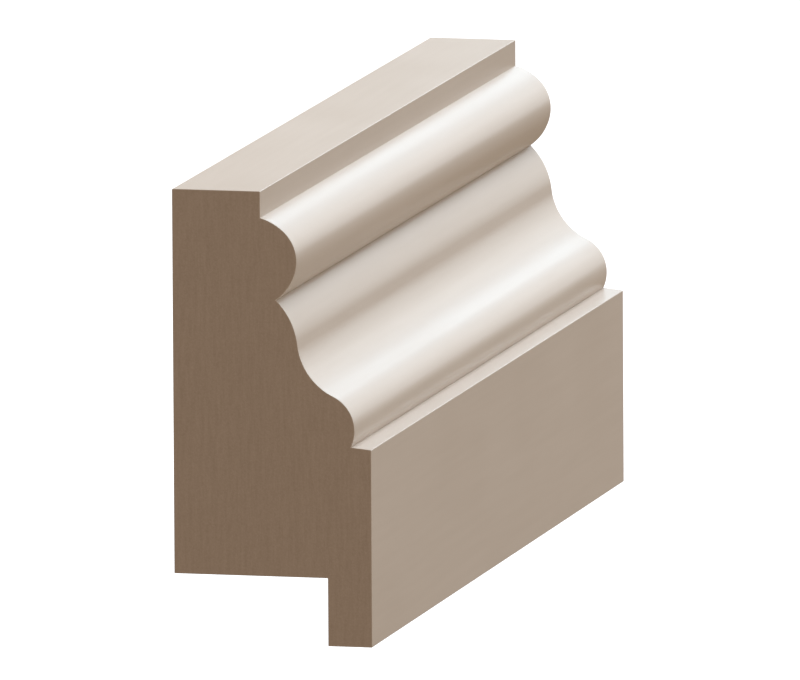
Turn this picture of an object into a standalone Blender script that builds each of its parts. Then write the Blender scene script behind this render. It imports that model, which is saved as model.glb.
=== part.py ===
"""Wainscot cap moulding: one straight length of rail with a bead, an ogee and a small nose over a plain fascia.

It is rebated behind, so that the fascia's lip hangs over the front of a wall panel's top edge.
The length runs along X and is centred. The back face is in the plane y = 0 and faces the wall at +Y.
The moulded face looks to -Y, and the origin is the middle of the back face.
"""

import math

import bmesh
import bpy

# Driving dimensions, in metres. Each step of the section goes out from the wall and down from the top.
LENGTH = 0.137

# The wall panel under the cap, the play in front of it, and the lip that hides the joint.
PANEL_THICKNESS = 0.01905
PANEL_CLEARANCE = 0.0007
LIP_THICKNESS = 0.00565
LIP_DROP = 0.0086

# The narrow upright fillet below the flat top.
FILLET_HEIGHT = 0.00335

# The large bead: a brow that leaves the fillet, a tighter crown, then a return that is undercut to the quirk.
BEAD_START_SLOPE = math.radians(15)
BEAD_BROW_OUT = 0.0031
BEAD_BROW_DROP = 0.00175
BEAD_CROWN_OUT = 0.0014
BEAD_CROWN_DROP = 0.00485
BEAD_RETURN_IN = 0.00255
BEAD_RETURN_DROP = 0.0037

# The ogee: a round shoulder out of the quirk, then a cove.
OGEE_START_SLOPE = math.radians(44)
SHOULDER_OUT = 0.00275
SHOULDER_DROP = 0.0056
COVE_OUT = 0.00455
COVE_DROP = 0.00635

# The small round nose that the cove runs into.
NOSE_OUT = 0.00225
NOSE_DROP = 0.00635

# The ledge below the nose, which falls a little to the front, and the plain fascia.
LEDGE_WIDTH = 0.0026
LEDGE_WASH = 0.00025
FASCIA_HEIGHT = 0.02495

# The turn between two neighbouring facets of a round.
FACET_TURN = math.radians(3)
SHARP_ANGLE = math.radians(25)
WELD_DISTANCE = 0.000001

# Sizes that follow from the ones above. The flat top takes what depth the moulded steps leave.
REBATE_DEPTH = PANEL_THICKNESS + PANEL_CLEARANCE
DEPTH = REBATE_DEPTH + LIP_THICKNESS
BEAD_OUT = BEAD_BROW_OUT + BEAD_CROWN_OUT - BEAD_RETURN_IN
BEAD_DROP = BEAD_BROW_DROP + BEAD_CROWN_DROP + BEAD_RETURN_DROP
OGEE_OUT = SHOULDER_OUT + COVE_OUT
OGEE_DROP = SHOULDER_DROP + COVE_DROP
TOP_WIDTH = DEPTH - BEAD_OUT - OGEE_OUT - NOSE_OUT - LEDGE_WIDTH
HEIGHT = FILLET_HEIGHT + BEAD_DROP + OGEE_DROP + NOSE_DROP + LEDGE_WASH + FASCIA_HEIGHT
BACK_HEIGHT = HEIGHT - LIP_DROP


def clear_scene():
    """Takes every object out of the open file."""
    for thing in list(bpy.data.objects):
        bpy.data.objects.remove(thing, do_unlink=True)


def line(section, out, drop):
    """Carries the section on by one straight step."""
    last_out, last_up = section[-1]
    section.append((last_out + out, last_up - drop))


def arc(section, out, drop, slope):
    """Carries the section on by one circular arc that leaves at the slope, and gives the slope it ends with.

    A slope is an angle below the level, outwards. The chord of an arc turns half as far as the arc does.
    """
    start_out, start_up = section[-1]
    turn = 2 * math.remainder(math.atan2(drop, out) - slope, math.tau)
    radius = math.hypot(out, drop) / (2 * math.sin(turn / 2))
    centre_out = start_out - radius * math.sin(slope)
    centre_up = start_up - radius * math.cos(slope)
    facets = math.ceil(abs(turn) / FACET_TURN)
    for step in range(1, facets + 1):
        angle = slope + turn * step / facets
        section.append((centre_out + radius * math.sin(angle), centre_up + radius * math.cos(angle)))
    return slope + turn


def cap_section():
    """The section of the rail, from the top of the back face round the front to the panel's seat."""
    section = [(0, BACK_HEIGHT / 2)]
    line(section, TOP_WIDTH, 0)
    line(section, 0, FILLET_HEIGHT)

    slope = arc(section, BEAD_BROW_OUT, BEAD_BROW_DROP, BEAD_START_SLOPE)
    slope = arc(section, BEAD_CROWN_OUT, BEAD_CROWN_DROP, slope)
    arc(section, -BEAD_RETURN_IN, BEAD_RETURN_DROP, slope)

    slope = arc(section, SHOULDER_OUT, SHOULDER_DROP, OGEE_START_SLOPE)
    slope = arc(section, COVE_OUT, COVE_DROP, slope)
    arc(section, NOSE_OUT, NOSE_DROP, slope)

    line(section, LEDGE_WIDTH, LEDGE_WASH)
    line(section, 0, FASCIA_HEIGHT)
    line(section, -LIP_THICKNESS, 0)
    line(section, 0, -LIP_DROP)
    line(section, -REBATE_DEPTH, 0)
    return section


def run_along(name, section, length):
    """A solid with the section all along it, centred on the origin, with its length on X."""
    outline = bpy.data.curves.new(name + "_outline", "CURVE")
    outline.dimensions = "2D"
    outline.fill_mode = "BOTH"
    outline.extrude = length / 2
    spline = outline.splines.new("POLY")
    spline.points.add(len(section) - 1)
    for point, (out, up) in zip(spline.points, section):
        point.co = (out, up, 0, 1)
    spline.use_cyclic_u = True

    guide = bpy.data.objects.new(name + "_outline", outline)
    bpy.context.scene.collection.objects.link(guide)
    guide.rotation_euler = (math.pi / 2, 0, -math.pi / 2)
    evaluated = guide.evaluated_get(bpy.context.evaluated_depsgraph_get())
    mesh = bpy.data.meshes.new_from_object(evaluated)
    mesh.name = name
    solid = bpy.data.objects.new(name, mesh)
    solid.matrix_world = evaluated.matrix_world.copy()
    bpy.data.objects.remove(guide, do_unlink=True)
    bpy.data.curves.remove(outline)

    shell = bmesh.new()
    shell.from_mesh(mesh)
    bmesh.ops.remove_doubles(shell, verts=shell.verts, dist=WELD_DISTANCE)
    shell.to_mesh(mesh)
    shell.free()
    mesh.shade_smooth()
    mesh.set_sharp_from_angle(angle=SHARP_ANGLE)
    return solid


def stone_paint():
    """Satin paint in a warm stone colour."""
    paint = bpy.data.materials.new("stone_paint")
    paint.use_nodes = True
    shader = paint.node_tree.nodes["Principled BSDF"]
    shader.inputs["Base Color"].default_value = (0.63, 0.55, 0.47, 1)
    shader.inputs["Roughness"].default_value = 0.4
    shader.inputs["Metallic"].default_value = 0
    return paint


def build():
    """Makes the moulding."""
    clear_scene()
    parts = bpy.data.collections.new("wainscot_cap_moulding")
    bpy.context.scene.collection.children.link(parts)
    rail = run_along("wainscot_cap", cap_section(), LENGTH)
    rail.data.materials.append(stone_paint())
    parts.objects.link(rail)


build()
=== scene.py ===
"""The looks of the wainscot cap moulding: painted faces, sawn ends and a raw back, in plain studio light."""

import math

import bmesh
import bpy
from mathutils import Matrix, Vector


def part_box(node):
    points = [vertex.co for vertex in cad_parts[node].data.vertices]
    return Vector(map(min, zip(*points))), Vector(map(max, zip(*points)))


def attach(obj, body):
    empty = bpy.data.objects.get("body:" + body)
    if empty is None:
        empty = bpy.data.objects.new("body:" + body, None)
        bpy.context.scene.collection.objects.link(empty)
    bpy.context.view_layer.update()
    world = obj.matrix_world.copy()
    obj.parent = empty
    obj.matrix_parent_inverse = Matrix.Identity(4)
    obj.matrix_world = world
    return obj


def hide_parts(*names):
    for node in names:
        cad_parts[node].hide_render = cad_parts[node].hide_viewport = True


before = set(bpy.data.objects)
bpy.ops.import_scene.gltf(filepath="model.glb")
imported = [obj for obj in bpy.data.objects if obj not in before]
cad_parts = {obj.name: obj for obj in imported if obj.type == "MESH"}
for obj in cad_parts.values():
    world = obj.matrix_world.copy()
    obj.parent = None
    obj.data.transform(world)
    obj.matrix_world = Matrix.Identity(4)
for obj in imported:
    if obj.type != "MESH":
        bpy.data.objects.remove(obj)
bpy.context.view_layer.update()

RAIL_NODE = "wainscot_cap"
rail_low, rail_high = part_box(RAIL_NODE)
RAIL_LENGTH = rail_high.x - rail_low.x
TOP_PLANE = rail_high.z
LIP_BOTTOM = rail_low.z

# Sizes of the finish, in metres.
ARRIS_ROUND = 0.00009
ARRIS_SEGMENTS = 4
PAINT_RIM = 0.00006
MIST_WIDTH = 0.004
SAW_CENTRE = (0, -0.05, -0.16)
PEEL_DEPTH = 0.000009
SAWN_DEPTH = 0.00003
PLANED_DEPTH = 0.00002

# The finishes, in the order of the rail's material slots.
PAINTED, SAWN, RAW = 0, 1, 2
PAINT_LIGHT = (0.65, 0.57, 0.492, 1)
PAINT_DEEP = (0.61, 0.53, 0.452, 1)
BOARD_PALE = (0.475, 0.378, 0.302, 1)
BOARD_DARK = (0.375, 0.29, 0.224, 1)

# What tells the faces and edges of the blank apart: lengths in metres, angles, and shares of a face's normal.
FACET_WIDTH = 0.0007
TOUCH = 0.00002
MERGE = 0.000001
CORNER_ANGLE = math.radians(30)
FLAT_ANGLE = math.radians(0.5)
SMOOTH_ANGLE = math.radians(40)
FACES_ALONG = 0.9
FACES_DOWN = 0.99
FACES_BACK = 0.05
FACES_UP = 0.3

# The camera, in degrees and metres. A long lens from far off makes the view almost parallel.
LENS_MM = 1400
VIEW_AZIMUTH = -76.3
VIEW_ELEVATION = 8.634
VIEW_ROLL = -0.312
VIEW_DISTANCE = 3.9477
VIEW_AIM = Vector((0, -0.012479, -0.00461))

# The studio, with its lengths in metres.
WORLD_GLOW = (0.427, 0.352, 0.279, 1)
WHITE = (1, 1, 1, 1)
LAMP_DISTANCE = 1.2
FLOOR_PALE = (0.9, 0.9, 0.9, 1)
FLOOR_GLOW = 0.36
FLOOR_SIZE = 40
FLOOR_GAP = 0.04


# Shader maths

class Sock:
    """A shader socket that can be used in sums."""

    def __init__(self, shop, socket):
        self.shop = shop
        self.socket = socket

    def _maths(self, kind, *terms):
        return self.shop.node("ShaderNodeMath", {"operation": kind}, dict(enumerate(terms)))

    def __add__(self, other):
        return self._maths("ADD", self, other)

    def __sub__(self, other):
        return self._maths("SUBTRACT", self, other)

    def __mul__(self, other):
        return self._maths("MULTIPLY", self, other)

    def __rsub__(self, other):
        return self._maths("SUBTRACT", other, self)

    __radd__ = __add__
    __rmul__ = __mul__


class Finish:
    """A material with one Principled BSDF, and the nodes that feed it."""

    def __init__(self, name, roughness, specular=0.5):
        self.material = bpy.data.materials.new(name)
        self.material.use_nodes = True
        self.tree = self.material.node_tree
        self.shader = self.tree.nodes["Principled BSDF"]
        self.shader.inputs["Roughness"].default_value = roughness
        self.shader.inputs["Specular IOR Level"].default_value = specular

    def node(self, kind, settings=None, inputs=None, output=0):
        """Makes a node, sets it, feeds its sockets and gives one of its outputs."""
        made = self.tree.nodes.new(kind)
        for name, value in (settings or {}).items():
            setattr(made, name, value)
        for key, value in (inputs or {}).items():
            if isinstance(value, Sock):
                self.tree.links.new(value.socket, made.inputs[key])
            else:
                made.inputs[key].default_value = value
        return Sock(self, made.outputs[output])

    def place(self):
        """Where a point of the piece is, in metres."""
        return self.node("ShaderNodeTexCoord", output="Object")

    def stretched(self, place, scale):
        """The place, stretched by a factor along each axis."""
        return self.node("ShaderNodeVectorMath", {"operation": "MULTIPLY"}, {0: place, 1: scale})

    def noise(self, place, scale, detail=2.0, roughness=0.5):
        """Soft noise from 0 to 1, with its patches about 1 / scale metres wide."""
        return self.node(
            "ShaderNodeTexNoise",
            {"normalize": True},
            {"Vector": place, "Scale": scale, "Detail": detail, "Roughness": roughness},
        )

    def noise_along(self, distance, scale):
        """Soft noise from 0 to 1 that changes with one distance only."""
        return self.node(
            "ShaderNodeTexNoise",
            {"noise_dimensions": "1D", "normalize": True},
            {"W": distance, "Scale": scale, "Detail": 1.0},
        )

    def height(self, place):
        """How high a place is."""
        return self.node("ShaderNodeSeparateXYZ", inputs={0: place}, output="Z")

    def far_from(self, place, centre):
        """The distance of a place from a fixed point."""
        return self.node(
            "ShaderNodeVectorMath",
            {"operation": "DISTANCE"},
            {0: place, 1: centre},
            output="Value",
        )

    def smaller(self, first, second):
        """The smaller of two values."""
        return self.node("ShaderNodeMath", {"operation": "MINIMUM"}, {0: first, 1: second})

    def mixed(self, share, first, second):
        """A colour between two others. A Mix node's colours are sockets 6 and 7, and its output is 2."""
        return self.node(
            "ShaderNodeMix",
            {"data_type": "RGBA"},
            {"Factor": share, 6: first, 7: second},
            output=2,
        )

    def limited(self, value, low, high):
        """The value carried from low..high to 0..1 and held there."""
        return self.node(
            "ShaderNodeMapRange",
            {"clamp": True},
            {"Value": value, "From Min": low, "From Max": high},
        )

    def feed(self, name, value):
        """Links a value to the shader's socket."""
        self.tree.links.new(value.socket, self.shader.inputs[name])

    def relief(self, height, depth):
        """Bump of the given depth in metres from a height of 0 to 1."""
        normal = self.node(
            "ShaderNodeBump",
            inputs={"Height": height, "Distance": depth, "Strength": 1.0},
        )
        self.feed("Normal", normal)


# The finishes

def stone_paint():
    """Satin paint in a warm stone colour, with faint orange peel over the cutters' fine lines."""
    paint = Finish("stone_paint", roughness=0.32)
    place = paint.place()
    patches = paint.noise(place, 60, detail=1.0)
    streaks = paint.noise(paint.stretched(place, (40, 900, 900)), 1.0)
    cutter_lines = paint.noise(paint.stretched(place, (3, 2400, 2400)), 1.0, detail=1.0)
    peel = paint.noise(place, 1400, detail=1.0)
    tone = paint.limited(patches * 0.5 + streaks * 0.5, 0.3, 0.7)
    paint.feed("Base Color", paint.mixed(tone, PAINT_DEEP, PAINT_LIGHT))
    paint.feed("Roughness", 0.29 + patches * 0.06)
    paint.relief(peel * 0.6 + streaks * 0.2 + cutter_lines * 0.2, PEEL_DEPTH)
    return paint.material


def sawn_board():
    """Raw fibreboard where the rail is cut across: pressed layers, loose fibres and the saw's faint arcs."""
    board = Finish("sawn_board", roughness=0.85, specular=0.2)
    place = board.place()
    layers = board.noise(board.stretched(place, (300, 2600, 260)), 1.0, detail=3.0, roughness=0.6)
    fibres = board.noise(place, 3800, roughness=0.7)
    arcs = board.noise_along(board.far_from(place, SAW_CENTRE), 800)
    tone = board.limited(layers * 0.45 + fibres * 0.5 + arcs * 0.05, 0.25, 0.75)
    board.feed("Base Color", board.mixed(tone, BOARD_DARK, BOARD_PALE))
    board.relief(fibres * 0.5 + layers * 0.3 + arcs * 0.2, SAWN_DEPTH)
    return board.material


def raw_board():
    """Raw fibreboard behind, planed flat, with a mist of paint that blew round from the painted edges."""
    board = Finish("raw_board", roughness=0.75, specular=0.25)
    place = board.place()
    fibres = board.noise(board.stretched(place, (700, 2600, 2600)), 1.0, detail=3.0, roughness=0.65)
    patches = board.noise(place, 90)
    tone = board.limited(fibres * 0.7 + patches * 0.3, 0.3, 0.7)
    bare = board.mixed(tone, BOARD_DARK, BOARD_PALE)
    up = board.height(place)
    edge_distance = board.smaller(TOP_PLANE - up, up - LIP_BOTTOM)
    mist = board.limited(edge_distance + (patches + fibres - 1) * MIST_WIDTH, MIST_WIDTH, 0)
    board.feed("Base Color", board.mixed(mist * 0.7, bare, PAINT_DEEP))
    board.relief(fibres, PLANED_DEPTH)
    return board.material


# The rail

def select_only(piece):
    """Leaves only this piece selected, and makes it the active one."""
    bpy.ops.object.select_all(action="DESELECT")
    piece.select_set(True)
    bpy.context.view_layer.objects.active = piece


def pick(piece, mode, wanted):
    """Leaves only the wanted edges or faces of the piece selected, in edit mode."""
    select_only(piece)
    bpy.ops.object.mode_set(mode="EDIT")
    bpy.ops.mesh.select_mode(type=mode)
    bpy.ops.mesh.select_all(action="DESELECT")
    shell = bmesh.from_edit_mesh(piece.data)
    for item in shell.edges if mode == "EDGE" else shell.faces:
        if wanted(item):
            item.select_set(True)
    shell.select_flush_mode()
    bmesh.update_edit_mesh(piece.data)


def runs_along(edge):
    """True for an edge that runs the length of the rail."""
    return abs(edge.verts[0].co.x - edge.verts[1].co.x) > RAIL_LENGTH / 2


def is_corner(edge):
    """True for an edge along the rail where two faces meet at a corner, not one within a round."""
    return runs_along(edge) and edge.calc_face_angle() > CORNER_ANGLE


def meets_round(edge):
    """True if a facet of a round is beside the edge."""
    return min(face.calc_area() for face in edge.link_faces) < RAIL_LENGTH * FACET_WIDTH


def is_end(face):
    """True for the sawn face at either end."""
    return abs(face.normal.x) > FACES_ALONG


def is_raw(face):
    """True for the faces behind: the back, the panel's seat and the inside of the lip."""
    seat = face.normal.z < -FACES_DOWN and face.calc_center_median().z > LIP_BOTTOM + TOUCH
    return seat or (face.normal.y > FACES_BACK and face.normal.z < FACES_UP)


def rail_blank():
    """A merged copy of the rail's solid, with each flat as one face."""
    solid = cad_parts[RAIL_NODE]
    rail = bpy.data.objects.new("cap_moulding", solid.data.copy())
    bpy.context.scene.collection.objects.link(rail)
    rail.data.materials.clear()
    pick(rail, "FACE", lambda face: True)
    bpy.ops.mesh.customdata_custom_splitnormals_clear()
    bpy.ops.mesh.remove_doubles(threshold=MERGE)
    bpy.ops.mesh.dissolve_limited(angle_limit=FLAT_ANGLE)
    bpy.ops.object.mode_set(mode="OBJECT")
    return rail


def ease_arrises(rail):
    """Rounds the arrises between flats a little, as sanding and paint leave them. The quirks stay sharp."""
    pick(rail, "EDGE", lambda edge: is_corner(edge) and not meets_round(edge))
    bpy.ops.mesh.bevel(offset=ARRIS_ROUND, segments=ARRIS_SEGMENTS, affect="EDGES")
    bpy.ops.object.mode_set(mode="OBJECT")


def add_paint_rims(rail):
    """Cuts a narrow rim off each sawn face, where the thickness of the paint shows."""
    pick(rail, "FACE", is_end)
    bpy.ops.mesh.inset(thickness=PAINT_RIM)
    bpy.ops.object.mode_set(mode="OBJECT")


def lay_finishes(rail):
    """Gives each face its finish. On the sawn ends, the rim beside a painted face is paint too."""
    shell = bmesh.new()
    shell.from_mesh(rail.data)
    for face in shell.faces:
        if is_end(face):
            sides = [other for edge in face.edges for other in edge.link_faces if not is_end(other)]
            painted = len(sides) == 1 and not is_raw(sides[0])
            face.material_index = PAINTED if painted else SAWN
        else:
            face.material_index = RAW if is_raw(face) else PAINTED
    shell.to_mesh(rail.data)
    shell.free()


def smooth(rail):
    """Shades the rounds smooth and keeps the flats flat."""
    select_only(rail)
    bpy.ops.object.shade_smooth_by_angle(angle=SMOOTH_ANGLE)
    rail.modifiers.new("flat_faces_lead", "WEIGHTED_NORMAL").keep_sharp = True
    bpy.ops.object.modifier_apply(modifier="flat_faces_lead")


def cap_moulding():
    """The whole moulding as one finished piece."""
    rail = rail_blank()
    ease_arrises(rail)
    add_paint_rims(rail)
    for make_finish in (stone_paint, sawn_board, raw_board):
        rail.data.materials.append(make_finish())
    lay_finishes(rail)
    smooth(rail)
    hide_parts(RAIL_NODE)
    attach(rail, "root")


# The studio

def turn_from(azimuth, elevation, roll=0):
    """The turn of a thing that looks at the rail from these angles. Azimuth 0 is straight in front."""
    return (
        Matrix.Rotation(math.radians(azimuth), 3, "Z")
        @ Matrix.Rotation(math.radians(90 - elevation), 3, "X")
        @ Matrix.Rotation(math.radians(roll), 3, "Z")
    )


def add_camera():
    """The camera, at the picture's angle."""
    turn = turn_from(VIEW_AZIMUTH, VIEW_ELEVATION, VIEW_ROLL)
    lens = bpy.data.cameras.new("picture_view")
    lens.lens = LENS_MM
    lens.clip_start = VIEW_DISTANCE / 10
    lens.clip_end = VIEW_DISTANCE * 10
    camera = bpy.data.objects.new("picture_view", lens)
    camera.location = VIEW_AIM + turn.col[2] * VIEW_DISTANCE
    camera.rotation_euler = turn.to_euler()
    bpy.context.scene.collection.objects.link(camera)
    bpy.context.scene.camera = camera


def add_lamp(name, azimuth, elevation, size, watts, colour):
    """A square softbox that looks at the rail's middle and doesn't show in the picture."""
    turn = turn_from(azimuth, elevation)
    light = bpy.data.lights.new(name, "AREA")
    light.size = size
    light.energy = watts
    light.color = colour
    lamp = bpy.data.objects.new(name, light)
    lamp.location = turn.col[2] * LAMP_DISTANCE
    lamp.rotation_euler = turn.to_euler()
    lamp.visible_camera = False
    bpy.context.scene.collection.objects.link(lamp)


def add_lamps():
    """Cool softboxes: a large one over the front, a weak one behind and three small ones past the far end."""
    add_lamp("front_softbox", azimuth=0, elevation=75, size=0.9, watts=17.1, colour=(0.76, 0.87, 1.0))
    add_lamp("back_softbox", azimuth=165, elevation=25, size=0.9, watts=2.4, colour=(0.85, 0.93, 1.0))
    add_lamp("end_softbox_low", azimuth=76, elevation=7, size=0.35, watts=0.51, colour=(0.88, 0.96, 1.0))
    add_lamp("end_softbox_middle", azimuth=84, elevation=15, size=0.35, watts=0.29, colour=(0.69, 0.86, 1.0))
    add_lamp("end_softbox_high", azimuth=93, elevation=17, size=0.35, watts=0.73, colour=(0.68, 0.87, 1.0))


def add_world():
    """An even warm glow that lights the rail, with a white backdrop for the camera."""
    world = bpy.data.worlds.new("studio")
    world.use_nodes = True
    tree = world.node_tree
    glow = tree.nodes["Background"]
    glow.inputs["Color"].default_value = WORLD_GLOW
    backdrop = tree.nodes.new("ShaderNodeBackground")
    backdrop.inputs["Color"].default_value = WHITE
    rays = tree.nodes.new("ShaderNodeLightPath")
    choice = tree.nodes.new("ShaderNodeMixShader")
    tree.links.new(rays.outputs["Is Camera Ray"], choice.inputs["Fac"])
    tree.links.new(glow.outputs["Background"], choice.inputs[1])
    tree.links.new(backdrop.outputs["Background"], choice.inputs[2])
    tree.links.new(choice.outputs["Shader"], tree.nodes["World Output"].inputs["Surface"])
    bpy.context.scene.world = world


def add_floor():
    """A wide pale floor under the rail."""
    bpy.ops.object.select_all(action="DESELECT")
    bpy.ops.mesh.primitive_plane_add(size=FLOOR_SIZE, location=(0, 0, LIP_BOTTOM - FLOOR_GAP))
    floor = bpy.context.object
    floor.name = "floor"
    pale = Finish("pale_floor", roughness=0.9, specular=0.1)
    pale.shader.inputs["Base Color"].default_value = FLOOR_PALE
    pale.shader.inputs["Emission Color"].default_value = WHITE
    pale.shader.inputs["Emission Strength"].default_value = FLOOR_GLOW
    floor.data.materials.append(pale.material)
    floor.visible_diffuse = False
    floor.visible_glossy = False


cap_moulding()
add_camera()
add_world()
add_floor()
add_lamps()
bpy.context.scene.view_settings.view_transform = "Standard"
